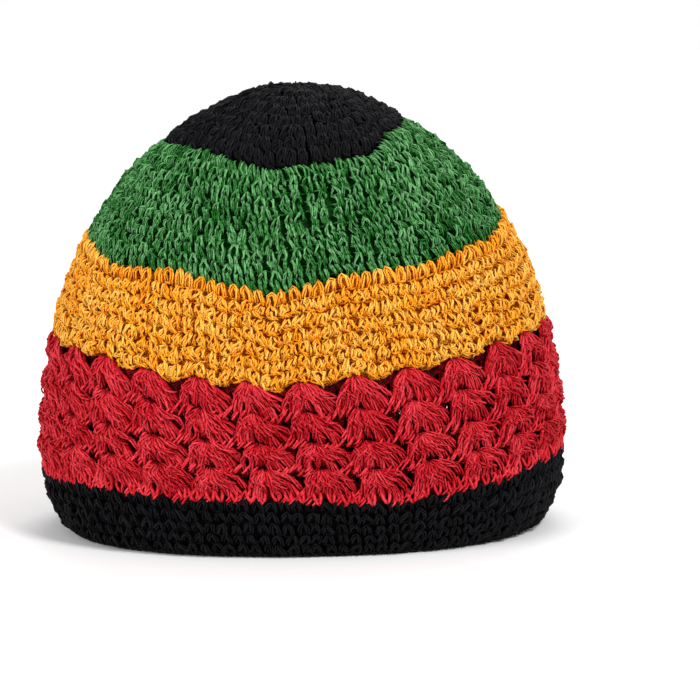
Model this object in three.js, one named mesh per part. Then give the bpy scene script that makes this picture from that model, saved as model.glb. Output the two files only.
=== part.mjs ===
// A crocheted kufi: a hollow cap worked in the round from the crown down, standing on its rim.
// Five bands of yarn make it: a black crown, a green band, a gold band, an openwork band of red
// shells and a black rim. Millimetres, +Z up, the rim's middle at the origin, the front at -Y.

import * as THREE from "three";

// Driving dimensions
const wall = 3; // two yarns deep
const bandGap = 0.4; // along the face, between one band's edge and the next
const crownCorners = 8; // increases in a round, which give the crown its corners
const cornerTurn = -0.02; // where the front corner stands, as a share of a full turn
const cornerBulge = 0.01; // how far a corner stands out, as a share of the radius there
const shellColumns = 28;
const shellRows = 4;
const shellRise = 1.2; // how far a shell stands out of its band
const shellSink = 0.7; // how far the seams between shells lie back
const shellDrift = 0.45; // how far a column drifts round from top to bottom, in shell widths
const scallopRise = 1.3; // how far each shell's tip reaches up into the gold
const cornersFrom = 71; // the corners fade in from this height up to the next
const cornersFull = 142;
const squareness = 2.25; // power of the oval round the head, 2 for an ellipse
const topRatio = 0.91; // depth over width at the very top

// The outline: half the width and half the depth at each height, from the top down
const outline = [
  { height: 160, halfWidth: 0, halfDepth: 0 },
  { height: 159.4, halfWidth: 10.2, halfDepth: 9.4 },
  { height: 157.2, halfWidth: 19.8, halfDepth: 18 },
  { height: 153.3, halfWidth: 28.6, halfDepth: 25.8 },
  { height: 147.6, halfWidth: 38.6, halfDepth: 34.4 },
  { height: 139.9, halfWidth: 49.6, halfDepth: 43.4 },
  { height: 130.2, halfWidth: 60.2, halfDepth: 51.5 },
  { height: 118.5, halfWidth: 69.2, halfDepth: 57.8 },
  { height: 104.3, halfWidth: 78.2, halfDepth: 63.6 },
  { height: 84.1, halfWidth: 86.2, halfDepth: 68.4 },
  { height: 60.8, halfWidth: 91.5, halfDepth: 71.5 },
  { height: 36.5, halfWidth: 94.2, halfDepth: 72.9 },
  { height: 18.2, halfWidth: 93.4, halfDepth: 72.5 },
  { height: 7.1, halfWidth: 89.4, halfDepth: 69.9 },
  { height: 0, halfWidth: 84.6, halfDepth: 66.4 },
];

// Where one colour meets the next: pairs of a turn and the height there, round the front from -X
// to +X. The line runs straight from pair to pair, and the back repeats the front.
const colourLines = {
  blackToGreen: [
    [-0.25, 141.5], [-0.155, 142.5], [-0.115, 141.7], [-0.03, 136], [0.09, 140], [0.135, 145.8],
    [0.25, 149],
  ],
  greenToGold: [
    [-0.25, 108.5], [-0.205, 107.2], [-0.15, 101.6], [-0.09, 101], [-0.018, 93.2], [0.032, 99.3],
    [0.095, 102], [0.14, 105.6], [0.25, 114.5],
  ],
  goldToRed: [
    [-0.25, 72.6], [-0.157, 70.5], [-0.088, 64.6], [-0.04, 62.6], [-0.016, 60.8], [0.01, 62.2],
    [0.054, 64.4], [0.112, 68.2], [0.148, 72], [0.25, 76],
  ],
  redToRim: [
    [-0.25, 23], [-0.151, 23.5], [-0.117, 23], [-0.087, 21.4], [0, 21.1], [0.052, 19.2],
    [0.107, 22], [0.139, 24.2], [0.175, 28.2], [0.25, 29.2],
  ],
};

// Rows of mesh down each plain band
const crownRows = 4;
const greenRows = 5;
const goldRows = 3;
const rimRows = 3;

// Places of the mesh lines in one shell, as shares of its width from its tip and of its height.
// The first and last lines across frame the seam between two columns and the gap there.
const seamPlace = 0.72;
const seamHalfWidth = 0.08;
const shellSides = [seamPlace - 1 + seamHalfWidth, seamPlace - 0.46, seamPlace - seamHalfWidth];
const gapTop = 0.08;
const gapBottom = 0.36;
const shellLevels = [gapTop, gapBottom, 0.7];

const { clamp, euclideanModulo, lerp, smoothstep } = THREE.MathUtils;
const fullTurn = 2 * Math.PI;

// The oval round the head at the widest height, walked in equal lengths of fabric. The turn is 0
// at the front, 0.25 at +X and 1 back at the front.
const widest = outline.find((row) => row.height === 36.5);
const ovalPower = (value) => Math.sign(value) * Math.abs(value) ** (2 / squareness);
const oval = new THREE.CatmullRomCurve3(
  Array.from({ length: 90 }, (_, i) => {
    const angle = (i * fullTurn) / 90;
    const across = widest.halfWidth * ovalPower(Math.sin(angle));
    const along = -widest.halfDepth * ovalPower(Math.cos(angle));
    return new THREE.Vector3(across, along, 0);
  }),
  true,
);

function ovalAt(turn) {
  const point = oval.getPointAt(euclideanModulo(turn, 1));
  return { x: point.x / widest.halfWidth, y: point.y / widest.halfDepth };
}

const meridian = new THREE.CatmullRomCurve3(
  outline.map((row) => new THREE.Vector3(row.halfWidth, 0, row.height)),
);
const meridianSamples = 600;
const meridianPoints = meridian.getSpacedPoints(meridianSamples);
const meridianLength = meridian.getLength();
const halfGap = bandGap / 2 / meridianLength;

// Share of the way down the meridian at which it passes a height
function shareAtHeight(height) {
  const below = meridianPoints.findIndex((point) => point.z <= height);
  if (below < 0) return 1;
  if (below === 0) return 0;
  const upper = meridianPoints[below - 1].z;
  const lower = meridianPoints[below].z;
  return (below - 1 + (upper - height) / (upper - lower)) / meridianSamples;
}

// Half width and height at a share of the way down, with the half depth from the outline's rows
function outlineAt(share) {
  const place = clamp(share, 0, 1) * meridianSamples;
  const before = Math.min(Math.floor(place), meridianSamples - 1);
  const point = meridianPoints[before].clone().lerp(meridianPoints[before + 1], place - before);
  const below = outline.findIndex((row) => row.height < point.z);
  const next = below < 1 ? outline.length - 1 : below;
  const upper = outline[next - 1];
  const lower = outline[next];
  const ratio = (row) => (row.halfWidth ? row.halfDepth / row.halfWidth : topRatio);
  const down = clamp((upper.height - point.z) / (upper.height - lower.height), 0, 1);
  return {
    halfWidth: point.x,
    halfDepth: point.x * lerp(ratio(upper), ratio(lower), down),
    height: point.z,
  };
}

// 1 on a corner line and 0 midway between two, as the side of a flat polygon runs
function cornerShare(turn) {
  const half = Math.PI / crownCorners;
  const angle = (turn - cornerTurn) * fullTurn;
  const fromCorner = Math.abs(euclideanModulo(angle + half, 2 * half) - half);
  return (1 / Math.cos(half - fromCorner) - 1) / (1 / Math.cos(half) - 1);
}

// 1 at this place across every shell, 0 half a shell to each side of it
function columnShare(turn, place) {
  return 0.5 + 0.5 * Math.cos((turn * shellColumns - place) * fullTurn);
}

function lineHeight(line, turn) {
  const signed = euclideanModulo(turn + 0.5, 1) - 0.5;
  const front = Math.abs(signed) > 0.25 ? Math.sign(signed) * 0.5 - signed : signed;
  const next = Math.max(1, line.findIndex(([place]) => place >= front));
  const [fromTurn, fromHeight] = line[next - 1];
  const [toTurn, toHeight] = line[next];
  return lerp(fromHeight, toHeight, clamp((front - fromTurn) / (toTurn - fromTurn), 0, 1));
}

const { blackToGreen, greenToGold, goldToRed, redToRim } = colourLines;
const crownFoot = (turn) => shareAtHeight(lineHeight(blackToGreen, turn));
const greenFoot = (turn) => shareAtHeight(lineHeight(greenToGold, turn));
const shellFoot = (turn) => shareAtHeight(lineHeight(redToRim, turn));

// The line under the gold band also climbs to each shell's tip
function goldFoot(turn) {
  const climb = scallopRise * (2 * columnShare(turn, 0) - 1);
  return shareAtHeight(lineHeight(goldToRed, turn) + climb);
}

// A point of the cap's outer face
function facePoint(turn, share) {
  const row = outlineAt(share);
  const round = ovalAt(turn);
  const cornerFade = smoothstep(row.height, cornersFrom, cornersFull);
  const swell = 1 + cornerBulge * cornerFade * cornerShare(turn);
  return new THREE.Vector3(
    row.halfWidth * swell * round.x,
    row.halfDepth * swell * round.y,
    row.height,
  );
}

// The outward direction there, from short steps along the face
function faceNormal(turn, share) {
  const turnStep = 0.003;
  const shareStep = 0.004;
  if (share < shareStep) return new THREE.Vector3(0, 0, 1);
  const above = share - shareStep;
  const below = Math.min(share + shareStep, 1);
  const middle = (above + below) / 2;
  const across = facePoint(turn + turnStep, middle).sub(facePoint(turn - turnStep, middle));
  const down = facePoint(turn, below).sub(facePoint(turn, above));
  return down.cross(across).normalize();
}

// Shell tips lie on whole multiples of the shells' width. All the bands are cut at these turns, so
// that the two edges at a colour change run alike.
const turns = Array.from({ length: shellColumns }, (_, column) =>
  shellSides.map((side) => (column + side) / shellColumns),
).flat();

// A closed wall from a grid of turns and levels. shareAt(turn, level) is a level's place on the
// meridian, riseAt its relief, driftAt its shift round the cap, and isOpen(column, row) leaves a
// cell out as a gap cut through.
function wallSolid({ levels, shareAt, riseAt, driftAt, isOpen, closedTop, flatFoot }) {
  const columns = turns.length;
  const rows = levels.length - 1;
  const positions = [];
  const outer = [];
  const inner = [];
  for (const [rowIndex, level] of levels.entries()) {
    outer.push([]);
    inner.push([]);
    for (const [columnIndex, turn] of turns.entries()) {
      if (closedTop && rowIndex === 0 && columnIndex > 0) {
        outer[0].push(outer[0][0]);
        inner[0].push(inner[0][0]);
        continue;
      }
      const place = turn + (driftAt ? driftAt(level) : 0);
      const share = shareAt(place, level);
      const face = facePoint(place, share);
      const normal = faceNormal(place, share);
      if (flatFoot && rowIndex === rows) normal.setZ(0).normalize();
      const front = face.clone().addScaledVector(normal, riseAt ? riseAt(turn, level) : 0);
      const back = face.clone().addScaledVector(normal, -wall);
      outer[rowIndex].push(positions.push(front) - 1);
      inner[rowIndex].push(positions.push(back) - 1);
    }
  }

  const indices = [];
  const addQuad = (a, b, c, d) => {
    if (a !== b && b !== c && c !== a) indices.push(a, b, c);
    if (a !== c && c !== d && d !== a) indices.push(a, c, d);
  };
  const open = (column, row) =>
    row < 0 || row >= rows || (isOpen ? isOpen((column + columns) % columns, row) : false);
  for (let row = 0; row < rows; row += 1) {
    for (let column = 0; column < columns; column += 1) {
      if (open(column, row)) continue;
      const next = (column + 1) % columns;
      const corners = [
        [row, column],
        [row + 1, column],
        [row + 1, next],
        [row, next],
      ];
      addQuad(...corners.map(([r, c]) => outer[r][c]));
      addQuad(...corners.map(([r, c]) => inner[r][c]).reverse());
      const neighbours = [
        [column - 1, row],
        [column, row + 1],
        [column + 1, row],
        [column, row - 1],
      ];
      for (const [side, [c, r]] of neighbours.entries()) {
        if (!open(c, r) || (closedTop && r < 0)) continue;
        const [fromRow, fromColumn] = corners[side];
        const [toRow, toColumn] = corners[(side + 1) % 4];
        addQuad(
          outer[toRow][toColumn],
          outer[fromRow][fromColumn],
          inner[fromRow][fromColumn],
          inner[toRow][toColumn],
        );
      }
    }
  }
  const geometry = new THREE.BufferGeometry().setFromPoints(positions);
  geometry.setIndex(indices);
  geometry.computeVertexNormals();
  return geometry;
}

const evenLevels = (count) => Array.from({ length: count + 1 }, (_, i) => i / count);

// A band that runs evenly from one line to the next, with half the gap off each edge
function between(upperFoot, lowerFoot) {
  return (turn, level) => lerp(upperFoot(turn) + halfGap, lowerFoot(turn) - halfGap, level);
}

function crownTop() {
  return wallSolid({
    levels: evenLevels(crownRows),
    shareAt: (turn, level) => level * (crownFoot(turn) - halfGap),
    closedTop: true,
  });
}

function greenBand() {
  return wallSolid({ levels: evenLevels(greenRows), shareAt: between(crownFoot, greenFoot) });
}

function goldBand() {
  return wallSolid({ levels: evenLevels(goldRows), shareAt: between(greenFoot, goldFoot) });
}

// Each shell stands highest below its middle and sinks to the seams around it
function shellRelief(turn, level) {
  const down = euclideanModulo(level * shellRows, 1);
  const puff = Math.sin(Math.PI * down) * columnShare(turn, seamPlace - 0.5);
  return lerp(-shellSink, shellRise, puff);
}

function shellBand() {
  const rowLevels = Array.from({ length: shellRows }, (_, row) =>
    shellLevels.map((level) => (row + level) / shellRows),
  ).flat();
  const isGapRow = (row) => row > 0 && (row - 1) % shellLevels.length === 0;
  const isSeam = (column) => column % shellSides.length === shellSides.length - 1;
  return wallSolid({
    levels: [0, ...rowLevels, 1],
    shareAt: between(goldFoot, shellFoot),
    riseAt: shellRelief,
    driftAt: (level) => (shellDrift * level) / shellColumns,
    isOpen: (column, row) => isGapRow(row) && isSeam(column),
  });
}

function rimBand() {
  return wallSolid({
    levels: evenLevels(rimRows),
    shareAt: (turn, level) => lerp(shellFoot(turn) + halfGap, 1, level),
    driftAt: () => shellDrift / shellColumns,
    flatFoot: true,
  });
}

// Cotton yarn in its dyed colours
const yarn = (color) => new THREE.MeshStandardMaterial({ color, roughness: 0.8, metalness: 0 });

const bands = [
  { name: "crown_top", geometry: crownTop(), material: yarn("#17161b") },
  { name: "green_band", geometry: greenBand(), material: yarn("#2f7a45") },
  { name: "gold_band", geometry: goldBand(), material: yarn("#efa526") },
  { name: "shell_band", geometry: shellBand(), material: yarn("#bf2634") },
  { name: "rim_band", geometry: rimBand(), material: yarn("#17161b") },
];

const kufi = new THREE.Group();
kufi.name = "kufi";
for (const band of bands) {
  const mesh = new THREE.Mesh(band.geometry, band.material);
  mesh.name = band.name;
  kufi.add(mesh);
}

export default kufi;
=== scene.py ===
# Crocheted kufi, standing on its rim: every round is made again in yarn over the CAD's five bands.
# Metres, the frame's axes: +Z up, the front at -Y. A turn is 0 at the front and grows towards +X.

import math

import bpy
import mathutils
import numpy as np
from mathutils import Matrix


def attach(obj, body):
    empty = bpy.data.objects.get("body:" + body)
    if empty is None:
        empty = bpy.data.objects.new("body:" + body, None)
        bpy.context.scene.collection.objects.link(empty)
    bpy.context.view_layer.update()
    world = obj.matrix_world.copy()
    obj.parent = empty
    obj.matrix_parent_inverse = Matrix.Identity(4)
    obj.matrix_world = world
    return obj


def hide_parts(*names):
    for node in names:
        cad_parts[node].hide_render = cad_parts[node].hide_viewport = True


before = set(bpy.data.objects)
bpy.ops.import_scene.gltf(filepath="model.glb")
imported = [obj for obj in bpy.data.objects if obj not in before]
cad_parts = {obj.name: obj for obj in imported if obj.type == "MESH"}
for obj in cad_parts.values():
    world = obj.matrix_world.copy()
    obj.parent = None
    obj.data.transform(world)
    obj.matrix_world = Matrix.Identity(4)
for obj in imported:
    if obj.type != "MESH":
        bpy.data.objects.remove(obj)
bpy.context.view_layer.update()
mm = 0.001
rng = np.random.default_rng(26)

# The outline repeats the CAD's rows: height, half width and half depth in mm, top to bottom
cap = {
    "outline": np.array([
        (160, 0, 0), (159.4, 10.2, 9.4), (157.2, 19.8, 18), (153.3, 28.6, 25.8),
        (147.6, 38.6, 34.4), (139.9, 49.6, 43.4), (130.2, 60.2, 51.5), (118.5, 69.2, 57.8),
        (104.3, 78.2, 63.6), (84.1, 86.2, 68.4), (60.8, 91.5, 71.5), (36.5, 94.2, 72.9),
        (18.2, 93.4, 72.5), (7.1, 89.4, 69.9), (0, 84.6, 66.4),
    ]),
    "squareness": 2.25,  # power of the oval round the head
    "topRatio": 0.91,  # half depth to half width at the very top
    "corners": 8,  # blunt corners round the crown
    "cornerTurn": -0.02,  # where one of them is
    "cornerBulge": 0.01,  # share of the width
    "cornerHeights": (71, 142),  # mm up, where the corners begin and where they are full
}

# Where one yarn meets the next, as the CAD has it: turn and height in mm round the front
colourLines = {
    "blackToGreen": np.array([
        (-0.25, 141.5), (-0.155, 142.5), (-0.115, 141.7), (-0.03, 136), (0.09, 140),
        (0.135, 145.8), (0.25, 149)]),
    "greenToGold": np.array([
        (-0.25, 108.5), (-0.205, 107.2), (-0.15, 101.6), (-0.09, 101), (-0.018, 93.2),
        (0.032, 99.3), (0.095, 102), (0.14, 105.6), (0.25, 114.5)]),
    "goldToRed": np.array([
        (-0.25, 72.6), (-0.157, 70.5), (-0.088, 64.6), (-0.04, 62.6), (-0.016, 60.8),
        (0.01, 62.2), (0.054, 64.4), (0.112, 68.2), (0.148, 72), (0.25, 76)]),
    "redToRim": np.array([
        (-0.25, 23), (-0.151, 23.5), (-0.117, 23), (-0.087, 21.4), (0, 21.1), (0.052, 19.2),
        (0.107, 22), (0.139, 24.2), (0.175, 28.2), (0.25, 29.2)]),
}
shells = {
    "columns": 28,
    "rows": 4,
    "rowShares": (0.02, 0.26, 0.51, 0.73, 0.98),  # where each row starts, down the red band
    "drift": 0.45,  # shell widths sideways from top to bottom
    "tipRise": 1.3,  # mm that the gold's last round rises at each shell's tip
}


def smoothThrough(points, perSpan):
    # Catmull-Rom: each span leaves and arrives along the chord between its neighbours
    ends = np.vstack([2 * points[0] - points[1], points, 2 * points[-1] - points[-2]])
    t = np.linspace(0, 1, perSpan, endpoint=False)[None, :, None]
    a, b, c, d = (ends[i:len(ends) - 3 + i, None, :] for i in range(4))
    curve = 0.5 * (2 * b + (c - a) * t + (2 * a - 5 * b + 4 * c - d) * t ** 2
                   + (3 * b - a - 3 * c + d) * t ** 3)
    return np.vstack([curve.reshape(-1, points.shape[1]), points[-1:]])


def smoothStep(value, low, high):
    # 3t^2 - 2t^3, where t goes from 0 at low to 1 at high
    t = np.clip((value - low) / (high - low), 0, 1)
    return t * t * (3 - 2 * t)


# The side meridian, measured in lengths down the fabric from the very top to the foot
meridian = smoothThrough(cap["outline"][:, :2] * mm, perSpan=24)
meridianStep = np.linalg.norm(np.diff(meridian, axis=0), axis=1)
meridianDown = np.concatenate([[0], np.cumsum(meridianStep)])
footDown = meridianDown[-1]
depthRatio = np.concatenate([[cap["topRatio"]], cap["outline"][1:, 2] / cap["outline"][1:, 1]])

# The oval, walked in equal lengths at the widest height
ovalSteps = 1440
ovalAngle = np.linspace(0, 2 * math.pi, ovalSteps + 1)
power = 2 / cap["squareness"]
ovalX = np.sign(np.sin(ovalAngle)) * np.abs(np.sin(ovalAngle)) ** power
ovalY = -np.sign(np.cos(ovalAngle)) * np.abs(np.cos(ovalAngle)) ** power
_, widestX, widestY = cap["outline"].max(axis=0)
ovalStep = np.hypot(np.diff(ovalX) * widestX, np.diff(ovalY) * widestY)
ovalTurn = np.concatenate([[0], np.cumsum(ovalStep)]) / ovalStep.sum()


def downAtHeight(height):
    # Length down the side meridian at which it has this height
    return np.interp(-height, -meridian[:, 0], meridianDown)


def capSurface(turn, down):
    # The meridian's height and half width at this length down, swung round the oval. The crown
    # swells at its corners by as much as a polygon stands out of the circle inside it.
    height = np.interp(down, meridianDown, meridian[:, 0])
    halfWidth = np.interp(down, meridianDown, meridian[:, 1])
    ratio = np.interp(-height / mm, -cap["outline"][:, 0], depthRatio)
    wrapped = np.mod(turn, 1.0)
    x = np.interp(wrapped, ovalTurn, ovalX)
    y = np.interp(wrapped, ovalTurn, ovalY)
    half = math.pi / cap["corners"]
    angle = (turn - cap["cornerTurn"]) * 2 * math.pi
    fromCorner = np.abs(np.mod(angle + half, 2 * half) - half)
    corner = (1 / np.cos(half - fromCorner) - 1) / (1 / math.cos(half) - 1)
    swell = 1 + cap["cornerBulge"] * smoothStep(height / mm, *cap["cornerHeights"]) * corner
    return np.stack([halfWidth * swell * x, halfWidth * ratio * swell * y, height], axis=-1)


def unit(vectors):
    # Each vector divided by its length
    return vectors / np.maximum(np.linalg.norm(vectors, axis=-1, keepdims=True), 1e-12)


# Half steps over which the surface's normal is taken, and how near the top and the foot
normalAt = {"turn": 0.002, "down": 0.4 * mm, "belowTop": 1.5 * mm, "aboveFoot": 0.5 * mm}


def capPoint(turn, down, out):
    # A point of the surface moved out along its normal, the cross product of two short steps.
    # Past the foot it goes straight down.
    turn, down, out = np.broadcast_arrays(turn, down, out)
    safe = np.clip(down, normalAt["belowTop"], footDown - normalAt["aboveFoot"])
    across = (capSurface(turn + normalAt["turn"], safe)
              - capSurface(turn - normalAt["turn"], safe))
    along = (capSurface(turn, safe + normalAt["down"])
             - capSurface(turn, safe - normalAt["down"]))
    normal = unit(np.cross(along, across))
    beyond = np.maximum(down - footDown, 0)[..., None] * np.array([0, 0, -1.0])
    point = capSurface(turn, np.clip(down, 0, footDown)) + beyond
    return point + normal * out[..., None]


def lineDown(name, turn):
    # A colour line's place down the fabric, straight from pair to pair and mirrored on the back
    signed = np.mod(turn + 0.5, 1) - 0.5
    front = np.where(np.abs(signed) > 0.25, np.sign(signed) * 0.5 - signed, signed)
    height = np.interp(front, colourLines[name][:, 0], colourLines[name][:, 1])
    if name == "goldToRed":
        height = height + shells["tipRise"] * np.cos(turn * 2 * math.pi * shells["columns"])
    return downAtHeight(height * mm)


# The bands from line to line: their kind of stitch and the tone of the wall behind it, which is
# painted shade, the stitches in each round, how far each round drifts sideways, in stitches, how
# far the rounds are drawn up at the band's foot, in mm, and the seed of its unevenness
bands = {
    "crown": {"top": None, "foot": "blackToGreen", "stitch": "close", "paintedShadeTone": -7.0,
              "counts": [8, 16, 24, 32, 40, 48, 56, 64, 72],
              "drift": 0.38, "drawnUp": 0.0, "seed": 11},
    "green": {"top": "blackToGreen", "foot": "greenToGold", "stitch": "tall", "paintedShadeTone": -4.0,
              "counts": [72, 78, 84, 90, 96, 102, 108],
              "drift": 0.38, "drawnUp": 0.0, "seed": 12},
    "gold": {"top": "greenToGold", "foot": "goldToRed", "stitch": "packed", "paintedShadeTone": -3.0,
             "counts": [112] * 7,
             "drift": 0.14, "drawnUp": 0.6, "seed": 13},
    "rim": {"top": "redToRim", "foot": None, "stitch": "short", "paintedShadeTone": -7.0,
            "counts": [112] * 5,
            "drift": 0.14, "drawnUp": 0.0, "seed": 14},
}
rimEnd = 1.8 * mm  # the rim's rounds end this far above its foot, where the cord runs


def bandDown(band, turn, row, rows):
    # A round's place: its share of the way from the band's upper line to its lower one
    top = lineDown(band["top"], turn) if band["top"] else 0.0
    foot = lineDown(band["foot"], turn) if band["foot"] else footDown - rimEnd
    return top + (foot - top) * row / rows


def meshFromArrays(name, vertices, faceGroups, uv, tone):
    # faceGroups is a list of [face, corner] index arrays, uv has a row for every corner in order
    mesh = bpy.data.meshes.new(name)
    corners = np.concatenate([group.ravel() for group in faceGroups])
    sizes = np.concatenate([np.full(len(group), group.shape[1]) for group in faceGroups])
    starts = np.concatenate([[0], np.cumsum(sizes)[:-1]])
    mesh.vertices.add(len(vertices))
    mesh.vertices.foreach_set("co", vertices.astype(np.float32).ravel())
    mesh.loops.add(len(corners))
    mesh.loops.foreach_set("vertex_index", corners.astype(np.int32))
    mesh.polygons.add(len(sizes))
    mesh.polygons.foreach_set("loop_start", starts.astype(np.int32))
    mesh.polygons.foreach_set("use_smooth", np.ones(len(sizes), bool))
    mesh.update(calc_edges=True)
    mesh.uv_layers.new(name="yarnUv").data.foreach_set("uv", uv.astype(np.float32).ravel())
    toneLayer = mesh.attributes.new("tone", "FLOAT", "POINT")
    toneLayer.data.foreach_set("value", tone.astype(np.float32))
    piece = bpy.data.objects.new(name, mesh)
    bpy.context.scene.collection.objects.link(piece)
    return piece


def carriedFrames(paths):
    # Two directions square to each path. The first is carried along it without twisting: at each
    # point it loses its part along the tangent. The second is the cross product of the two.
    tangent = unit(np.gradient(paths, axis=1))
    first = np.empty_like(paths)
    slant = np.array([0.31, 0.22, 0.92])  # no strand runs along this direction
    first[:, 0] = unit(np.cross(tangent[:, 0], slant))
    for i in range(1, paths.shape[1]):
        before = first[:, i - 1]
        lengthwise = np.sum(before * tangent[:, i], -1, keepdims=True)
        first[:, i] = unit(before - tangent[:, i] * lengthwise)
    return first, np.cross(tangent, first)


def aroundPath(first, second, angle):
    # A unit step square to the path: first x cosine + second x sine
    return first * np.cos(angle)[..., None] + second * np.sin(angle)[..., None]


# The ellipsoid that says which way is out of the cap, and the height in metres that it starts from
outForm = {"height": 0.06, "radii": np.array([0.094, 0.073, 0.1])}

# How yarn shows on its tubes: each strand starts somewhere in this many mm of yarn, and its tone
# rises by this much on the side that faces out of the cap and falls as much on the side that faces
# in: a painted highlight and painted shade for how light falls on a strand
yarnShow = {"length": 50, "crest": 2.4}
plySides = 3  # plies are so thin, and so many, that three sides do


def outwardAt(points):
    # The way out of the cap: square to an ellipsoid above its height and level below
    above = points.copy()
    above[..., 2] = np.maximum(above[..., 2] - outForm["height"], 0)
    return unit(above / outForm["radii"] ** 2)


def tubes(paths, radius, sides, tone):
    # A circle of the given radius carried along each path, closed at both ends
    strands, points, _ = paths.shape
    first, second = carriedFrames(paths)
    ring = aroundPath(first[:, :, None], second[:, :, None],
                      np.arange(sides) * 2 * math.pi / sides)
    radius = np.broadcast_to(np.asarray(radius), (strands, points))
    vertices = (paths[:, :, None] + ring * radius[:, :, None, None]).reshape(-1, 3)

    index = np.arange(strands * points * sides).reshape(strands, points, sides)
    nextSide = np.roll(index, -1, axis=2)
    quads = np.stack([index[:, :-1], nextSide[:, :-1], nextSide[:, 1:], index[:, 1:]], -1)
    ends = np.concatenate([index[:, 0, ::-1], index[:, -1]])

    # u is mm along the yarn, v goes from 0 to 1 round it
    step = np.linalg.norm(np.diff(paths, axis=1), axis=-1)
    along = np.concatenate([np.zeros((strands, 1)), np.cumsum(step, 1)], 1) / mm
    along = along + rng.uniform(0, yarnShow["length"], (strands, 1))
    around = np.arange(sides + 1) / sides
    u = np.broadcast_to(along[:, :, None], (strands, points, sides + 1))
    v = np.broadcast_to(around, (strands, points, sides + 1))
    grid = np.stack([u, v], -1)
    quadUv = np.stack([grid[:, :-1, :-1], grid[:, :-1, 1:], grid[:, 1:, 1:], grid[:, 1:, :-1]], 3)
    endUv = np.zeros((2 * strands * sides, 2))

    # painted highlight on the side facing out of the cap, painted shade on the side facing in
    crest = np.sum(ring * outwardAt(paths)[:, :, None], -1)
    tone = np.asarray(tone, float).reshape(strands, -1)
    tone = np.broadcast_to(tone, (strands, points))[..., None] + yarnShow["crest"] * crest
    return vertices, quads.reshape(-1, 4), ends, quadUv.reshape(-1, 2), endUv, tone.ravel()


def yarnPiece(name, parts):
    # Joins several sets of tubes into one mesh. The number of sides may differ from set to set.
    vertices, quads, ends, quadUv, endUv, tones = zip(*parts)
    starts = np.cumsum([0] + [len(points) for points in vertices[:-1]])
    groups = [np.concatenate([quad + start for quad, start in zip(quads, starts)])]
    groups += [end + start for end, start in zip(ends, starts)]
    uv = np.concatenate(quadUv + endUv)
    return meshFromArrays(name, np.concatenate(vertices), groups, uv, np.concatenate(tones))


def plied(paths, plies, offset, turns):
    # Several plies that wind round each path, spaced evenly about it. The offset in metres may
    # change along the path.
    first, second = carriedFrames(paths)
    strands, points, _ = paths.shape
    start = rng.uniform(0, 2 * math.pi, (strands, 1))
    wind = np.linspace(0, 2 * math.pi * turns, points)
    aside = np.broadcast_to(offset, (points,))[:, None]
    return np.concatenate([
        paths + aroundPath(first, second, start + wind + ply * 2 * math.pi / plies) * aside
        for ply in range(plies)])


# Stitches hang down from the round above. A strand's path goes across in stitches, down in rounds
# and out in mm. Its radius and the offset of its plies are in mm, and turns is how often they
# wind. The strand leaves out the first rounds ("skip") or ends after them ("until"), and "rough"
# multiplies its unevenness.
# A pin is a loop with two legs, whose tip lies between the legs of the stitch above. A link runs
# from foot to foot behind them. A short stitch is these two. A close one has its middle filled
# from the second round on. A packed one has pins in the first round, and below it five short
# strands that cross its cell. A tall one has three long slanted legs in the first round, and below
# it two slanted legs under a small inverted V.
pin = {
    "path": [(-0.20, 1.04, -1.7), (-0.28, 0.76, -0.1), (-0.28, 0.44, 0.8), (-0.19, 0.15, 0.7),
             (0.0, -0.05, 0.0), (0.20, 0.15, 0.8), (0.29, 0.44, 0.9), (0.31, 0.78, 0.1),
             (0.27, 1.08, -1.7)],
    "plies": 3, "radius": 0.46, "offset": 0.54, "turns": 0.9, "tone": 0.0,
}
# A link lies deeper than the pins, and its lower tone is painted shade.
link = {
    "path": [(-0.56, 0.93, -1.4), (-0.20, 0.98, -0.5), (0.20, 0.93, -0.5), (0.56, 0.84, -1.5)],
    "plies": 1, "radius": 0.6, "tone": -0.9,
}
packedStrand = {"plies": 2, "radius": 0.46, "offset": 0.42, "turns": 0.6, "tone": 0.6,
                "skip": 1, "rough": 1.8}
longLeg = {"plies": 2, "radius": 0.38, "offset": 0.34, "turns": 0.5, "tone": 0.3,
           "until": 1, "rough": 1.4}
# The small V stands out at the round's top, and its higher tone is a painted highlight.
smallV = {"plies": 2, "radius": 0.40, "offset": 0.36, "turns": 0.5, "tone": 1.1,
          "skip": 1, "rough": 1.4}
shortLeg = {"plies": 3, "radius": 0.38, "offset": 0.42, "turns": 0.6, "tone": 0.8,
            "skip": 1, "rough": 1.4}
longLegPath = np.array([(-0.06, 0.10, -0.7), (0.02, 0.34, 0.3), (0.16, 0.66, 0.5),
                        (0.30, 0.97, -0.4), (0.37, 1.18, -1.7)])
shortLegPath = np.array([(-0.10, 0.36, -0.8), (-0.01, 0.54, 0.4), (0.10, 0.76, 0.5),
                         (0.22, 1.00, -0.3), (0.30, 1.14, -1.5)])
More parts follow.
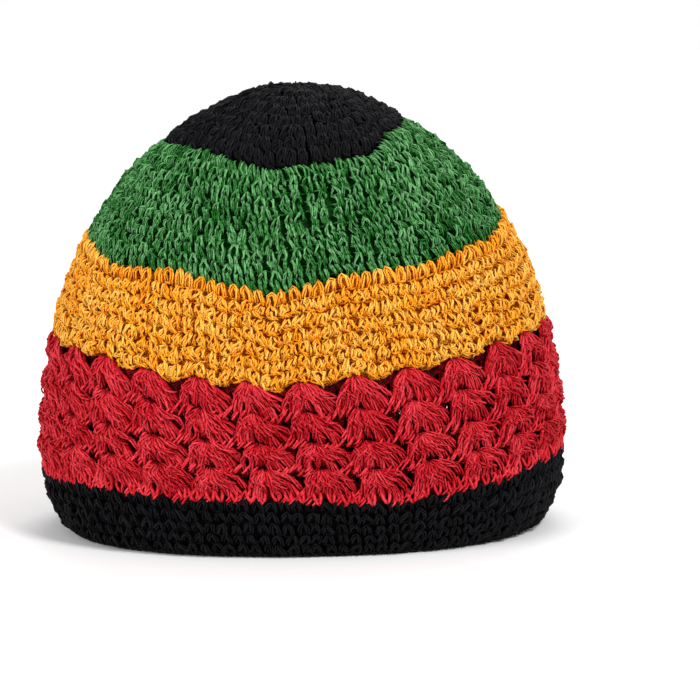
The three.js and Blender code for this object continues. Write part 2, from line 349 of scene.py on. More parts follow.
stitches = {
    "short": [pin, link],
    "close": [
        pin,
        {"path": [(0.12, 0.10, 0.0), (0.04, 0.42, 0.6), (-0.06, 0.78, 0.3), (-0.12, 1.06, -1.0)],
         "plies": 2, "radius": 0.44, "offset": 0.44, "turns": 0.6, "tone": -0.2, "skip": 1},
        {"path": [(-0.58, 0.70, -1.2), (-0.24, 0.86, 0.4), (0.14, 1.06, 0.4), (0.44, 1.20, -1.2)],
         "plies": 2, "radius": 0.40, "offset": 0.40, "turns": 0.5, "tone": 0.1, "skip": 1},
        link,
    ],
    "packed": [
        {**pin, "until": 1},
        {**packedStrand, "path": [
            (-0.10, 0.00, -0.4), (-0.24, 0.24, 0.9), (-0.32, 0.50, 0.8), (-0.33, 0.82, -0.8)]},
        {**packedStrand, "path": [
            (0.06, 0.00, -0.4), (0.18, 0.24, 1.0), (0.24, 0.52, 0.9), (0.24, 0.84, -0.8)]},
        {**packedStrand, "tone": 0.4, "path": [
            (0.02, 0.34, -0.3), (-0.04, 0.52, 0.5), (-0.08, 0.72, 0.4), (-0.12, 0.98, -1.0)]},
        {**packedStrand, "path": [
            (-0.46, 0.58, -0.9), (-0.20, 0.74, 0.6), (0.06, 0.90, 0.6), (0.26, 1.10, -0.9)]},
        {**packedStrand, "tone": 0.0, "path": [
            (0.50, 0.16, -1.2), (0.44, 0.40, 0.1), (0.47, 0.64, 0.1), (0.55, 0.92, -1.0)]},
        link,
    ],
    "tall": [
        *({**longLeg, "path": longLegPath + [shift, 0, 0]} for shift in (-0.32, -0.03, 0.26)),
        {**smallV, "path": [
            (-0.30, 0.50, -0.9), (-0.24, 0.28, 0.7), (-0.12, 0.05, 1.1), (0.00, -0.10, -0.2)]},
        {**smallV, "path": [
            (-0.02, -0.10, -0.2), (0.12, 0.06, 1.1), (0.24, 0.28, 0.8), (0.30, 0.52, -0.9)]},
        *({**shortLeg, "path": shortLegPath + [shift, 0, 0]} for shift in (-0.22, 0.16)),
        link,
    ],
}

# The hand's unevenness: each pair is a mean and a spread
handwork = {
    "width": (1, 0.10),
    "height": (1, 0.06),
    "lean": (0.05, 0.20),  # stitches sideways for each round down
    "aside": (0, 0.06),  # in stitches
    "sag": (0, 0.05),  # in rounds
    "out": (0, 0.25),  # in mm
    "middle": 0.4,  # rounds down, where a stitch leans and stretches from
    "point": 0.04,  # spread of every point, in stitches and in rounds
    "pointOut": 5,  # mm outwards for each of these
    "wander": 0.08,  # rounds up and down, slowly round the cap
    "fromTop": 0.9 * mm,  # no stitch comes nearer to the very top
    "stitchTone": 0.4,  # spread of the tone from stitch to stitch
    "strandTone": 1.0,
    # painted shade: a strand's colour darkens towards its foot, under the next round
    "footShade": 1.15,  # how much a strand darkens towards its foot
    "footFrom": 0.5,  # rounds down, where that begins, and over how many it grows
    "footOver": 0.4,
}

# Slow waves round the cap: how often each goes round, how far it moves on from round to round,
# and where it starts
waveStarts = np.random.default_rng(5).uniform(0, 2 * math.pi, 3)
slowWaves = list(zip((3, 7, 17), (0.7, -1.1, 1.9), waveStarts))


def slowWave(turn, row):
    # The mean of three sines, for rounds that wander as hand work does
    return sum(np.sin(turn * 2 * math.pi * times + row * onward + start)
               for times, onward, start in slowWaves) / 3


def layStitches(band, template, number, rough):
    # Every stitch of every round: the template is leaned, sized and shifted a little at random,
    # then laid on the cap between the band's two lines. The band's seed lays all the strands of a
    # stitch alike, and a seed made with the strand's number gives its own unevenness.
    local = np.random.default_rng(band["seed"])
    own = np.random.default_rng(1000 + 20 * band["seed"] + number)
    rows = len(band["counts"])
    middle = handwork["middle"]
    across, below, out = template.T
    paths = []
    for row, count in enumerate(band["counts"]):
        n = (count, 1)
        width = local.normal(*handwork["width"], n)
        lean = local.normal(*handwork["lean"], n)
        a = across * width + lean * (below - middle) + local.normal(*handwork["aside"], n)
        b = (below - middle) * local.normal(*handwork["height"], n) + middle
        b = b + local.normal(*handwork["sag"], n)
        c = out + local.normal(*handwork["out"], n)
        uneven = own.normal(0, handwork["point"] * rough, (3, count, len(template)))
        a, b, c = a + uneven[0], b + uneven[1], c + handwork["pointOut"] * uneven[2]
        turn = (np.arange(count)[:, None] + a + band["drift"] * row) / count + cap["cornerTurn"]
        place = row + b + handwork["wander"] * slowWave(turn, row)
        down = bandDown(band, turn, place, rows) - band["drawnUp"] * mm * row / rows
        paths.append(capPoint(turn, np.maximum(down, handwork["fromTop"]), c * mm))
    return np.concatenate(paths)


def roundsOfStitches(name, key, extra=()):
    # All the strands of all the band's stitches, in one mesh
    band = bands[key]
    counts = band["counts"]
    parts = []
    shared = rng.normal(0, handwork["stitchTone"], sum(counts))
    for number, strand in enumerate(stitches[band["stitch"]]):
        first = sum(counts[:strand.get("skip", 0)])
        last = sum(counts[:strand.get("until", len(counts))])
        template = np.array(strand["path"])
        paths = layStitches(band, template, number, strand.get("rough", 1))[first:last]
        if strand["plies"] > 1:
            paths = plied(paths, strand["plies"], strand["offset"] * mm, strand["turns"])
        tone = strand["tone"] + np.tile(shared[first:last], strand["plies"])
        tone = tone + rng.normal(0, handwork["strandTone"], len(paths))
        # painted shade: a strand's colour darkens towards its foot, where the next round stands
        # over it
        shaded = np.clip((template[:, 1] - handwork["footFrom"]) / handwork["footOver"], 0, 1)
        tone = tone[:, None] - handwork["footShade"] * shaded
        parts.append(tubes(paths, strand["radius"] * mm, plySides, tone))
    return yarnPiece(name, parts + list(extra))


# The yarn's end at the start of the crown, worked in beside the middle: three small loops, each
# at one turn, over these mm down and out
nub = {
    "turns": (0.72, 0.75, 0.78),
    "down": (8.0, 8.6, 9.3, 10.0, 10.6),
    "out": (-0.6, 1.6, 2.4, 1.6, -0.6),
    "radius": 0.6,
    "sides": 5,
}


def crownNub():
    # The same arch, down and out, at each of the turns
    turn = np.array(nub["turns"])[:, None]
    paths = capPoint(turn, np.array(nub["down"]) * mm, np.array(nub["out"]) * mm)
    return tubes(paths, nub["radius"] * mm, nub["sides"], np.zeros(len(turn)))


# One shell, from its left to its right: posts fan down from a tip, each a cubic curve with its two
# ends and two handles, across in shell widths and down in rows. They hang steeply on the left and
# sweep out on the right. Strands of yarn lie evenly between these posts.
shellPosts = np.array([
    ((-0.05, 0.02), (-0.20, 0.10), (-0.37, 0.32), (-0.37, 1.14)),
    ((-0.04, 0.00), (-0.13, 0.20), (-0.27, 0.50), (-0.26, 1.22)),
    ((-0.02, -0.03), (-0.05, 0.28), (-0.13, 0.58), (-0.14, 1.06)),
    ((0.01, -0.04), (0.03, 0.26), (0.05, 0.52), (0.05, 0.76)),
    ((0.03, -0.03), (0.11, 0.22), (0.21, 0.55), (0.26, 1.12)),
    ((0.05, -0.02), (0.18, 0.14), (0.34, 0.48), (0.43, 1.18)),
    ((0.06, -0.02), (0.24, 0.05), (0.45, 0.32), (0.59, 1.04)),
    ((0.07, -0.03), (0.32, -0.14), (0.57, 0.02), (0.71, 0.66)),
])
shellYarn = {
    "layers": [  # posts in a layer, how their yarn is plied, and how far they lie out in mm
        {"posts": 8, "plies": 3, "offset": 0.62, "turns": 1.2, "radius": 0.46, "points": 8,
         "out": 0.0, "tone": 0.2},
        # the second layer lies under the posts, and its lower tone is painted shade
        {"posts": 16, "plies": 1, "radius": 0.8, "points": 7, "out": -0.9, "tone": -1.2},
    ],
    "rise": ((0, 0.15, 0.45, 0.8, 1), (-0.9, 0.4, 1.5, 0.4, -1.0)),  # mm out, along a post
    "slim": ((0, 0.15, 0.9, 1), (0.6, 1, 1, 0.7)),  # thickness along a post
    # spreads of a post's place in the fan, of its bend and its end sideways, of its length and
    # its start downwards, of its place and its wave outwards in mm, and of its tone
    "place": 0.02, "bend": 0.035, "end": 0.03, "length": 0.04, "start": 0.02,
    "outPlace": 0.25, "outWave": 0.3, "toneSpread": 0.9,
}


def fanLines(places, t):
    # Posts at these places from 0 at the left to 1 at the right, then along each the cubic
    # (1-t)^3 start + 3t(1-t)^2 first handle + 3t^2(1-t) second handle + t^3 end
    knots = np.linspace(0, 1, len(shellPosts))
    flat = shellPosts.reshape(len(shellPosts), -1)
    control = np.stack([np.interp(places, knots, column) for column in flat.T], -1)
    p0, p1, p2, p3 = np.moveaxis(control.reshape(*places.shape, 4, 1, 2), -3, 0)
    t = t[:, None]
    return p0 * (1 - t) ** 3 + 3 * p1 * t * (1 - t) ** 2 + 3 * p2 * t ** 2 * (1 - t) + p3 * t ** 3


def rowShare(place):
    # Share of the way down the red band, going on straight past its first and last rows
    rows = np.arange(-1, shells["rows"] + 2)
    shares = np.array(shells["rowShares"])
    shares = np.concatenate([[2 * shares[0] - shares[1]], shares, [2 * shares[-1] - shares[-2]]])
    return np.interp(place, rows, shares)


def layOnShells(a, b, c, column, row):
    # Across in shell widths, down in rows, out in mm, on the red band, whose columns drift sideways
    share = rowShare(row + b)
    turn = (column + a + shells["drift"] * share) / shells["columns"]
    top = lineDown("goldToRed", turn)
    down = top + (lineDown("redToRim", turn) - top) * share
    return capPoint(turn, down, c * mm)


def counted(*counts):
    # Every combination of these counts, as one column of indices for each
    return tuple(grid.reshape(-1, 1) for grid in np.indices(counts))


def riseAlong(t):
    # How far a post lies out along its length, straight from pair to pair
    return np.interp(t, *shellYarn["rise"])


def shellFans(name):
    # One line for every column, row and post, thinner towards its ends
    parts = []
    for layer in shellYarn["layers"]:
        t = np.linspace(0, 1, layer["points"])
        slim = np.interp(t, *shellYarn["slim"])
        bend = np.sin(2 * math.pi * t)
        column, row, post = counted(shells["columns"], shells["rows"], layer["posts"])
        n = column.shape
        places = (post + 0.5) / layer["posts"] + rng.normal(0, shellYarn["place"], n)
        line = fanLines(np.clip(places, 0, 1)[:, 0], t)
        cross = rng.normal(0, shellYarn["bend"], n) * bend
        cross = cross + rng.normal(0, shellYarn["end"], n) * t
        a = line[..., 0] + cross
        b = line[..., 1] * rng.normal(1, shellYarn["length"], n)
        b = b + rng.normal(0, shellYarn["start"], n)
        wave = rng.normal(0, shellYarn["outPlace"], n)
        wave = wave + rng.normal(0, shellYarn["outWave"], n) * bend
        paths = layOnShells(a, b, riseAlong(t) + layer["out"] + wave, column, row)
        if layer["plies"] > 1:
            paths = plied(paths, layer["plies"], slim * layer["offset"] * mm, layer["turns"])
        tone = layer["tone"] + rng.normal(0, shellYarn["toneSpread"], len(paths))
        parts.append(tubes(paths, slim * layer["radius"] * mm, plySides, tone))
    return yarnPiece(name, parts)


# The yarn that is wrapped round each post shows as two short strands across its middle. They
# follow the post between two of its points and lean over it, and rise in an arch outwards.
postWrap = {
    "between": (0.4, 0.6),  # the post's points that give its direction, along it
    "middle": 0.5,  # along the post
    "step": 0.1,  # from one strand to the next
    "spread": 0.06,
    "along": 0.55,  # half a strand's length, in steps from point to point
    "across": 0.07,  # half its reach sideways, in shell widths
    "out": 1.2,  # mm over the post
    "outSpread": 0.15,
    "arch": 2.2,  # mm lower at its ends
    "radius": 0.4, "sides": 3, "tone": (0.2, 0.9),
}

# The loops that close each shell below: short slanted loops across the posts' feet, in pairs. The
# lowest row ends in teeth, four to a shell, that reach down between the rim's first stitches.
# Places are in shell widths across and in rows down, spreads likewise and in mm outwards.
shellLoops = {
    "places": ((-0.31, 1.00), (-0.18, 1.03), (0.24, 1.04), (0.38, 1.04), (0.52, 0.96),
               (0.62, 0.80)),
    "path": np.array([(-0.09, 0.10, -1.1), (-0.05, 0.09, 0.3), (0.0, 0.0, 0.9), (0.05, -0.09, 0.6),
                      (0.08, -0.13, -0.9)]),
    "apart": 0.05,  # rows up and down from the middle of a pair
    "size": 0.12, "aside": 0.015, "sag": 0.03, "out": 0.25,
    "radius": 0.42, "sides": 4, "tone": (0.3, 1),
}
teeth = {
    "places": np.array([-0.37, -0.12, 0.13, 0.38]),
    "path": np.array([(-0.07, 0.70, 0.0), (-0.06, 0.88, 0.7), (-0.03, 1.03, 0.8),
                      (0.00, 1.12, -0.3), (0.03, 1.01, 0.8), (0.06, 0.86, 0.7),
                      (0.07, 0.68, 0.0)]),
    "size": 0.12, "aside": 0.02, "sag": 0.05, "out": 0.2,
    "radius": 0.62, "sides": 4, "tone": (-0.3, 0.8),
}


def wrapPaths():
    # Along each post's chord between two points, sideways in proportion, and out as a parabola
    u = np.linspace(-1, 1, 5)
    posts = shellYarn["layers"][0]["posts"]
    column, row, post, strand = counted(shells["columns"], shells["rows"], posts, 2)
    n = column.shape
    middle = (postWrap["middle"] + postWrap["step"] * (strand - 0.5)
              + rng.normal(0, postWrap["spread"], n))
    place = (post[:, 0] + 0.5) / posts
    upperAt, lowerAt = postWrap["between"]
    upper, lower = (fanLines(place, np.array([at]))[:, 0] for at in (upperAt, lowerAt))
    along = (middle - upperAt) / (lowerAt - upperAt) + postWrap["along"] * u
    a = upper[:, :1] + (lower[:, :1] - upper[:, :1]) * along + postWrap["across"] * u
    b = upper[:, 1:] + (lower[:, 1:] - upper[:, 1:]) * along
    c = (riseAlong(postWrap["middle"]) + postWrap["out"] - postWrap["arch"] * u ** 2
         + rng.normal(0, postWrap["outSpread"], n))
    return layOnShells(a, b, c, column, row)


def loopPaths():
    # The loop's own path, sized and shifted, at each place of each shell, twice over
    column, row = counted(shells["columns"], shells["rows"])
    n = column.shape
    across, below, out = shellLoops["path"].T
    sets = []
    for placeA, placeB in shellLoops["places"]:
        for side in (-1, 1):
            size = rng.normal(1, shellLoops["size"], n)
            a = placeA + across * size + rng.normal(0, shellLoops["aside"], n)
            b = placeB + below * size + side * shellLoops["apart"]
            b = b + rng.normal(0, shellLoops["sag"], n)
            sets.append(layOnShells(a, b, out + rng.normal(0, shellLoops["out"], n), column, row))
    return np.concatenate(sets)


def toothPaths():
    # The tooth's own path, sized across and shifted, at each place of the lowest row
    column, tooth = counted(shells["columns"], len(teeth["places"]))
    n = column.shape
    across, below, out = teeth["path"].T
    size = rng.normal(1, teeth["size"], n)
    a = teeth["places"][tooth] + across * size + rng.normal(0, teeth["aside"], n)
    b = below + rng.normal(0, teeth["sag"], n)
    c = out + rng.normal(0, teeth["out"], n)
    return layOnShells(a, b, c, column, shells["rows"] - 1)


def shellEdges(name):
    # Loops, teeth and wraps in one mesh
    loops = loopPaths()
    toothed = toothPaths()
    wraps = wrapPaths()
    return yarnPiece(name, [
        tubes(paths, kind["radius"] * mm, kind["sides"], rng.normal(*kind["tone"], len(paths)))
        for paths, kind in ((wraps, postWrap), (loops, shellLoops), (toothed, teeth))])


# The rim's last round: two plies that wind about each other all the way round the foot, in mm
cord = {"points": 561, "aboveFoot": 1.15, "out": -0.6, "plies": 2, "offset": 0.5, "turns": 84,
        "radius": 0.6, "sides": 4, "tones": (0.3, -0.3)}


def rimCord(name):
    turn = np.linspace(0, 1, cord["points"])[None]
    path = capPoint(turn, footDown - cord["aboveFoot"] * mm, cord["out"] * mm)
    plies = plied(path, cord["plies"], cord["offset"] * mm, cord["turns"])
    return yarnPiece(name, [tubes(plies, cord["radius"] * mm, cord["sides"], cord["tones"])])


# The inner side of the fabric: a thin wall, its two sides so many mm out from the cap's surface.
# The side behind the stitches is darkened with painted shade, and the inner side shows the yarn in
# relief.
backing = {
    "outer": -2.3,
    "inner": -2.9,
    "relief": 0.5,  # mm that a round stands out on the inner side
    "pinch": 0.4,  # share of this that goes between two stitches
    "innerTone": -0.8,
    "fromTop": 2.0 * mm,  # the wall begins this far from the very top
    "perStitch": 2,  # cells
    "perRound": 4,
    "yarnAround": 400,  # mm of yarn round the wall, and strands down it, for its pattern
    "yarnDown": 8,
}


def innerWall(name, downAt, around, levels, reliefAt, paintedShadeTone, isOpen=None):
    # An outer and an inner grid over the same cells, joined by side walls round the band's edges
    # and round each open cell, so that the wall is closed
    turn = np.arange(around) / around
    level = np.linspace(0, 1, levels + 1)
    turnGrid, levelGrid = np.meshgrid(turn, level)
    down = downAt(turnGrid, levelGrid)
    relief = backing["relief"] * reliefAt(turnGrid, levelGrid)
    front = capPoint(turnGrid, down, backing["outer"] * mm)
    back = capPoint(turnGrid, down, (backing["inner"] - relief) * mm)
    vertices = np.concatenate([front.reshape(-1, 3), back.reshape(-1, 3)])
    outer = np.arange(front.size // 3).reshape(levels + 1, around)
    inner = outer + front.size // 3
    solid = np.ones((levels, around), bool)
    if isOpen:
        solid = ~isOpen(turnGrid[:-1] + 0.5 / around, (levelGrid[:-1] + levelGrid[1:]) / 2)

    def corners(grid):
        # Top left, low left, low right and top right of every cell
        right = np.roll(grid, -1, axis=1)
        return grid[:-1], grid[1:], right[1:], right[:-1]

    outerCorners, innerCorners = corners(outer), corners(inner)
    faces = [np.stack(outerCorners, -1)[solid], np.stack(innerCorners[::-1], -1)[solid]]
    padded = np.vstack([np.zeros((1, around), bool), solid, np.zeros((1, around), bool)])
    neighbours = [np.roll(solid, 1, 1), padded[2:], np.roll(solid, -1, 1), padded[:-2]]
    for side, neighbour in enumerate(neighbours):
        edge = solid & ~neighbour
        start, end = side, (side + 1) % 4
        faces.append(np.stack([outerCorners[end], outerCorners[start], innerCorners[start],
                               innerCorners[end]], -1)[edge])
    quads = np.concatenate(faces)
    uv = np.stack([np.tile(turn, levels + 1) * backing["yarnAround"],
                   np.repeat(level, around) * backing["yarnDown"]], -1)
    uv = np.concatenate([uv, uv])[quads.ravel()]
    # the outer side's low tone is painted shade
    tone = np.repeat([paintedShadeTone, backing["innerTone"]], front.size // 3)
    return meshFromArrays(name, vertices, [quads], uv, tone)


def bandInside(name, key):
    band = bands[key]
    rows = len(band["counts"])
    count = band["counts"][-1]

    def downAt(turn, level):
        return np.maximum(bandDown(band, turn, level * rows, rows), backing["fromTop"])

    def relief(turn, level):
        # Rounded bars, one to a round, each pinched between stitches: sine squared down the
        # round, times 1 - pinch + pinch x cosine across the stitch
        pinched = 1 - backing["pinch"] + backing["pinch"] * np.cos(turn * 2 * math.pi * count)
        return np.sin(math.pi * level * rows) ** 2 * pinched

    return innerWall(name, downAt, count * backing["perStitch"], rows * backing["perRound"],
                     relief, band["paintedShadeTone"])


# The red band's wall, and the gap in it beside each shell, which lies at the seam of two columns
# in the upper part of the row. Widths are in shells and heights in rows.
# The low tone of the wall's outer side is painted shade.
shellWall = {"perShell": 12, "perRow": 8, "paintedShadeTone": -5.0, "gapPlace": 0.7, "gapHalfWidth": 0.042,
             "gapTop": 0.22, "gapFoot": 0.5}


def shellInside(name):
    def downAt(turn, level):
        top = lineDown("goldToRed", turn)
        return top + (lineDown("redToRim", turn) - top) * level

    def relief(turn, level):
        # A rounded bar to each row, sine squared
        return np.sin(math.pi * level * shells["rows"]) ** 2

    def isOpen(turn, level):
        column = turn * shells["columns"] - shells["drift"] * level - shellWall["gapPlace"]
        fromGap = np.abs(np.mod(column + 0.5, 1) - 0.5)
        rows = np.arange(shells["rows"] + 1)
        inRow = np.mod(np.interp(level, shells["rowShares"], rows), 1)
        return ((fromGap < shellWall["gapHalfWidth"])
                & (inRow > shellWall["gapTop"]) & (inRow < shellWall["gapFoot"]))

    return innerWall(name, downAt, shells["columns"] * shellWall["perShell"],
                     shells["rows"] * shellWall["perRow"], relief, shellWall["paintedShadeTone"], isOpen)


def toLinear(hexColour):
    # sRGB to linear: a twelfth of it near black, and a power of 2.4 above
    value = np.array([int(hexColour[i:i + 2], 16) / 255 for i in (1, 3, 5)])
    linear = np.where(value <= 0.04045, value / 12.92, ((value + 0.055) / 1.055) ** 2.4)
    return (*linear, 1.0)


def addNode(tree, kind, settings=None, links=None):
    # A node with its settings, input values by name or number, and links from (node, output)
    node = tree.nodes.new(kind)
    for key, value in (settings or {}).items():
        if isinstance(key, int) or key in node.inputs:
            node.inputs[key].default_value = value
        else:
            setattr(node, key, value)
    for key, (source, output) in (links or {}).items():
        tree.links.new(source.outputs[output], node.inputs[key])
    return node


# What all the yarns share. Real fibres are far finer: these are drawn as coarse as they need to
# show.
spinning = {
    "filaments": 5.0,  # round a strand
    "twist": 0.5,  # filaments that pass in each mm along it, so one winds round in 10 mm
    "flecksPerMm": 0.9,  # a fleck in 1.1 mm, where the filaments part
    "patchesPerMm": 0.06,  # a patch in 17 mm, where the dye took unevenly
    "shade": {"tone": 0.09, "filament": 0.10, "fleck": 0.9, "patch": 0.5},
    "grain": 0.5,  # filaments against flecks, in the bump
    "depth": 0.12 * mm,
    "ior": 1.53,  # cotton
}


def yarnMaterial(name, look):
    # Soft-spun cotton yarn, loosely plied: rounded strands whose fine filaments catch the light
    material = bpy.data.materials.new(name)
    material.use_nodes = True
    tree = material.node_tree
    tree.nodes.clear()
    uv = addNode(tree, "ShaderNodeUVMap", {"uv_map": "yarnUv"})
    split = addNode(tree, "ShaderNodeSeparateXYZ", links={0: (uv, "UV")})
    place = addNode(tree, "ShaderNodeTexCoord")
    # the filament stripes follow the yarn's twist; their part in the colour is painted shade
    # between the filaments and painted highlight on them, and they also drive the bump
    # filament = sine of a full turn x (twist x mm along + filaments x share round)
    around = addNode(tree, "ShaderNodeMath",
                     {"operation": "MULTIPLY", 1: spinning["filaments"]}, {0: (split, "Y")})
    slant = addNode(tree, "ShaderNodeMath",
                    {"operation": "MULTIPLY_ADD", 1: spinning["twist"]},
                    {0: (split, "X"), 2: (around, 0)})
    angle = addNode(tree, "ShaderNodeMath", {"operation": "MULTIPLY", 1: 2 * math.pi},
                    {0: (slant, 0)})
    filament = addNode(tree, "ShaderNodeMath", {"operation": "SINE"}, {0: (angle, 0)})
    fleck = addNode(tree, "ShaderNodeTexNoise",
                    {"Scale": spinning["flecksPerMm"] / mm, "Detail": 3.0, "Roughness": 0.6},
                    {"Vector": (place, "Object")})
    patch = addNode(tree, "ShaderNodeTexNoise",
                    {"Scale": spinning["patchesPerMm"] / mm, "Detail": 2.0},
                    {"Vector": (place, "Object")})
    tone = addNode(tree, "ShaderNodeAttribute", {"attribute_name": "tone"})

    # shade = 0.5 + the weighted sum of the tone, the filament, and the fleck and the patch, which
    # are first taken about their middle of 0.5, kept between 0 and 1
    weights = spinning["shade"]
    shade = addNode(tree, "ShaderNodeMath",
                    {"operation": "MULTIPLY_ADD", 1: weights["tone"], 2: 0.5}, {0: (tone, "Fac")})
    centred = {part: addNode(tree, "ShaderNodeMath", {"operation": "SUBTRACT", 1: 0.5},
                             {0: (source, "Fac")})
               for part, source in (("fleck", fleck), ("patch", patch))}
    for part, source in (("filament", filament), *centred.items()):
        shade = addNode(tree, "ShaderNodeMath",
                        {"operation": "MULTIPLY_ADD", 1: weights[part]},
                        {0: (source, 0), 2: (shade, 0)})
    shade.use_clamp = True
    # The ramp gives each shade value its colour, from the painted shade colour up to the painted
    # highlight colour.
    ramp = addNode(tree, "ShaderNodeValToRGB", links={0: (shade, 0)})
    low, high = ramp.color_ramp.elements
    low.position, low.color = 0.0, toLinear(look["shade"])
    high.position, high.color = 0.9, toLinear(look["light"])
    for position, part in ((0.2, "deep"), (0.5, "body")):
        ramp.color_ramp.elements.new(position).color = toLinear(look[part])

    grain = addNode(tree, "ShaderNodeMath", {"operation": "MULTIPLY_ADD", 1: spinning["grain"]},
                    {0: (filament, 0), 2: (fleck, "Fac")})
    bump = addNode(tree, "ShaderNodeBump",
                   {"Strength": look["bump"], "Distance": spinning["depth"]},
                   {"Height": (grain, 0)})
    surface = addNode(tree, "ShaderNodeBsdfPrincipled",
                      {"Roughness": look["roughness"], "IOR": spinning["ior"],
                       "Specular IOR Level": look["specular"]},
                      {"Base Color": (ramp, "Color"), "Normal": (bump, "Normal")})
    addNode(tree, "ShaderNodeOutputMaterial", links={"Surface": (surface, "BSDF")})
    return material


# Each yarn's colours, from the painted shade deepest between its fibres to the painted highlight on
# their lit tops. Soft-spun cotton has next to no mirror shine, hence the low specular levels, and
# the black yarn is the dullest; the whitening of the lit tops is painted into the light colour.
yarns = {
    "black": yarnMaterial("black_cotton_yarn", {
        "shade": "#010101", "deep": "#030304", "body": "#08080b", "light": "#131218",
        "roughness": 0.7, "specular": 0.12, "bump": 0.6}),
    "green": yarnMaterial("green_cotton_yarn", {
        "shade": "#001602", "deep": "#003c02", "body": "#1a641c", "light": "#78b878",
        "roughness": 0.55, "specular": 0.06, "bump": 0.8}),
    "gold": yarnMaterial("gold_cotton_yarn", {
        "shade": "#7a2000", "deep": "#e06600", "body": "#ffa510", "light": "#ffce60",
        "roughness": 0.55, "specular": 0.12, "bump": 0.8}),
    "red": yarnMaterial("red_cotton_yarn", {
        "shade": "#140001", "deep": "#820004", "body": "#c21422", "light": "#ec4852",
        "roughness": 0.55, "specular": 0.06, "bump": 0.8}),
}


def finishPiece(piece, yarn, slot, *nodes):
    piece.data.materials.append(yarns[yarn])
    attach(piece, "root")
    for node in nodes:
        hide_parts(node)
    print("made", piece.name, len(piece.data.polygons), "faces")


finishPiece(roundsOfStitches("crown_rounds", "crown", [crownNub()]), "black", "black_yarn",
            "crown_top")
finishPiece(bandInside("crown_inside", "crown"), "black", "black_yarn")
finishPiece(roundsOfStitches("green_rounds", "green"), "green", "green_yarn", "green_band")
finishPiece(bandInside("green_inside", "green"), "green", "green_yarn")
finishPiece(roundsOfStitches("gold_rounds", "gold"), "gold", "gold_yarn", "gold_band")
finishPiece(bandInside("gold_inside", "gold"), "gold", "gold_yarn")
finishPiece(shellFans("shell_fans"), "red", "red_yarn", "shell_band")
finishPiece(shellEdges("shell_edges"), "red", "red_yarn")
finishPiece(shellInside("shell_inside"), "red", "red_yarn")
finishPiece(roundsOfStitches("rim_rounds", "rim"), "black", "black_yarn", "rim_band")
finishPiece(rimCord("rim_cord"), "black", "black_yarn")
finishPiece(bandInside("rim_inside", "rim"), "black", "black_yarn")
print("yarn laid")

# The studio's paper in metres: how far it lies in front and behind, the radius of its bend, and
# how high and wide it is
paper = {"front": -4.0, "flat": 1.6, "bend": 0.8, "high": 3.0, "wide": 8.0, "steps": 24,
         "colour": "#f4f4f4", "roughness": 0.9}


def backdrop():
    # A floor that curves up behind: straight, then a quarter circle, then straight up
    sweep = np.linspace(0, math.pi / 2, paper["steps"])
    back = paper["flat"] + paper["bend"]
    y = np.concatenate([[paper["front"]], paper["flat"] + paper["bend"] * np.sin(sweep), [back]])
    z = np.concatenate([[0.0], paper["bend"] - paper["bend"] * np.cos(sweep), [paper["high"]]])
    x = np.array([-paper["wide"] / 2, paper["wide"] / 2])
    grid = np.stack([np.tile(x, len(y)), np.repeat(y, 2), np.repeat(z, 2)], -1)
    index = np.arange(len(grid)).reshape(-1, 2)
    quads = np.stack([index[:-1, 0], index[:-1, 1], index[1:, 1], index[1:, 0]], -1)
    mesh = bpy.data.meshes.new("backdrop")
    mesh.from_pydata(grid.tolist(), [], quads.tolist())
    mesh.shade_smooth()
    sheet = bpy.data.objects.new("backdrop", mesh)
    bpy.context.scene.collection.objects.link(sheet)
    material = bpy.data.materials.new("white_paper")
    material.use_nodes = True
    shader = material.node_tree.nodes["Principled BSDF"]
    shader.inputs["Base Color"].default_value = toLinear(paper["colour"])
    shader.inputs["Roughness"].default_value = paper["roughness"]
    mesh.materials.append(material)


# The photo looks at the cap square on from a little above, with the cap turned a little in the
# picture, so the camera is rolled
view = {
    "lens": 200, "sensor": 36,  # mm
    "picture": 700, "pixelsPerMm": 2.735,
    "elevation": 8.5, "roll": 0.8,  # degrees
    "height": 0.080,  # metres up the cap's middle, which shows at this pixel
    "centreX": 301, "centreY": 305.5,
    "clipEnd": 40,
}


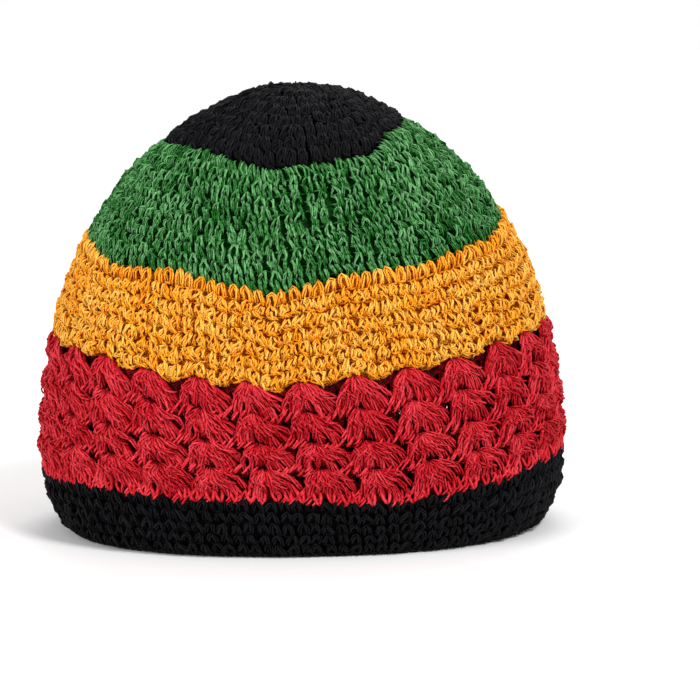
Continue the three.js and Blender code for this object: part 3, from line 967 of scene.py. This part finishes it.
def camera():
    # Away from the target along the elevation, as far as makes the picture as wide as its pixels
    data = bpy.data.cameras.new("camera")
    data.lens = view["lens"]
    data.sensor_width = view["sensor"]
    data.clip_end = view["clipEnd"]
    eye = bpy.data.objects.new("camera", data)
    pixel = mm / view["pixelsPerMm"]
    distance = view["picture"] * pixel * view["lens"] / data.sensor_width
    elevation = math.radians(view["elevation"])
    away = np.array([0, -math.cos(elevation), math.sin(elevation)])
    up = np.array([0, math.sin(elevation), math.cos(elevation)])
    side = np.array([1.0, 0, 0])
    half = view["picture"] / 2
    target = (np.array([0, 0, view["height"]]) + side * (half - view["centreX"]) * pixel
              - up * (half - view["centreY"]) * pixel)
    eye.location = target + away * distance
    look = mathutils.Matrix((side, up, away)).transposed()
    roll = mathutils.Matrix.Rotation(-math.radians(view["roll"]), 3, "Z")
    eye.rotation_euler = (look @ roll).to_euler()
    bpy.context.scene.collection.objects.link(eye)
    bpy.context.scene.camera = eye


# Large round lights, in metres and watts, each turned to a height above the cap's middle
softLights = {
    "key": {"place": (0.9, -1.3, 1.6), "aimHeight": 0.08, "size": 0.7, "watts": 32},
    "fill": {"place": (-1.4, -1.2, 0.9), "aimHeight": 0.08, "size": 1.4, "watts": 20},
    "back": {"place": (0.2, 1.2, 1.8), "aimHeight": 0.1, "size": 1.2, "watts": 16},
}
skyStrength = 0.55


def softLight(name, lamp):
    data = bpy.data.lights.new(name, "AREA")
    data.shape = "DISK"
    data.size = lamp["size"]
    data.energy = lamp["watts"]
    light = bpy.data.objects.new(name, data)
    light.location = lamp["place"]
    aim = mathutils.Vector((0, 0, lamp["aimHeight"])) - mathutils.Vector(lamp["place"])
    light.rotation_euler = aim.to_track_quat("-Z", "Y").to_euler()
    bpy.context.scene.collection.objects.link(light)


backdrop()
camera()
for name, lamp in softLights.items():
    softLight(name, lamp)
world = bpy.data.worlds.new("studio")
world.use_nodes = True
world.node_tree.nodes["Background"].inputs["Color"].default_value = (1, 1, 1, 1)
world.node_tree.nodes["Background"].inputs["Strength"].default_value = skyStrength
bpy.context.scene.world = world
bpy.context.scene.view_settings.view_transform = "Standard"
print("studio set")
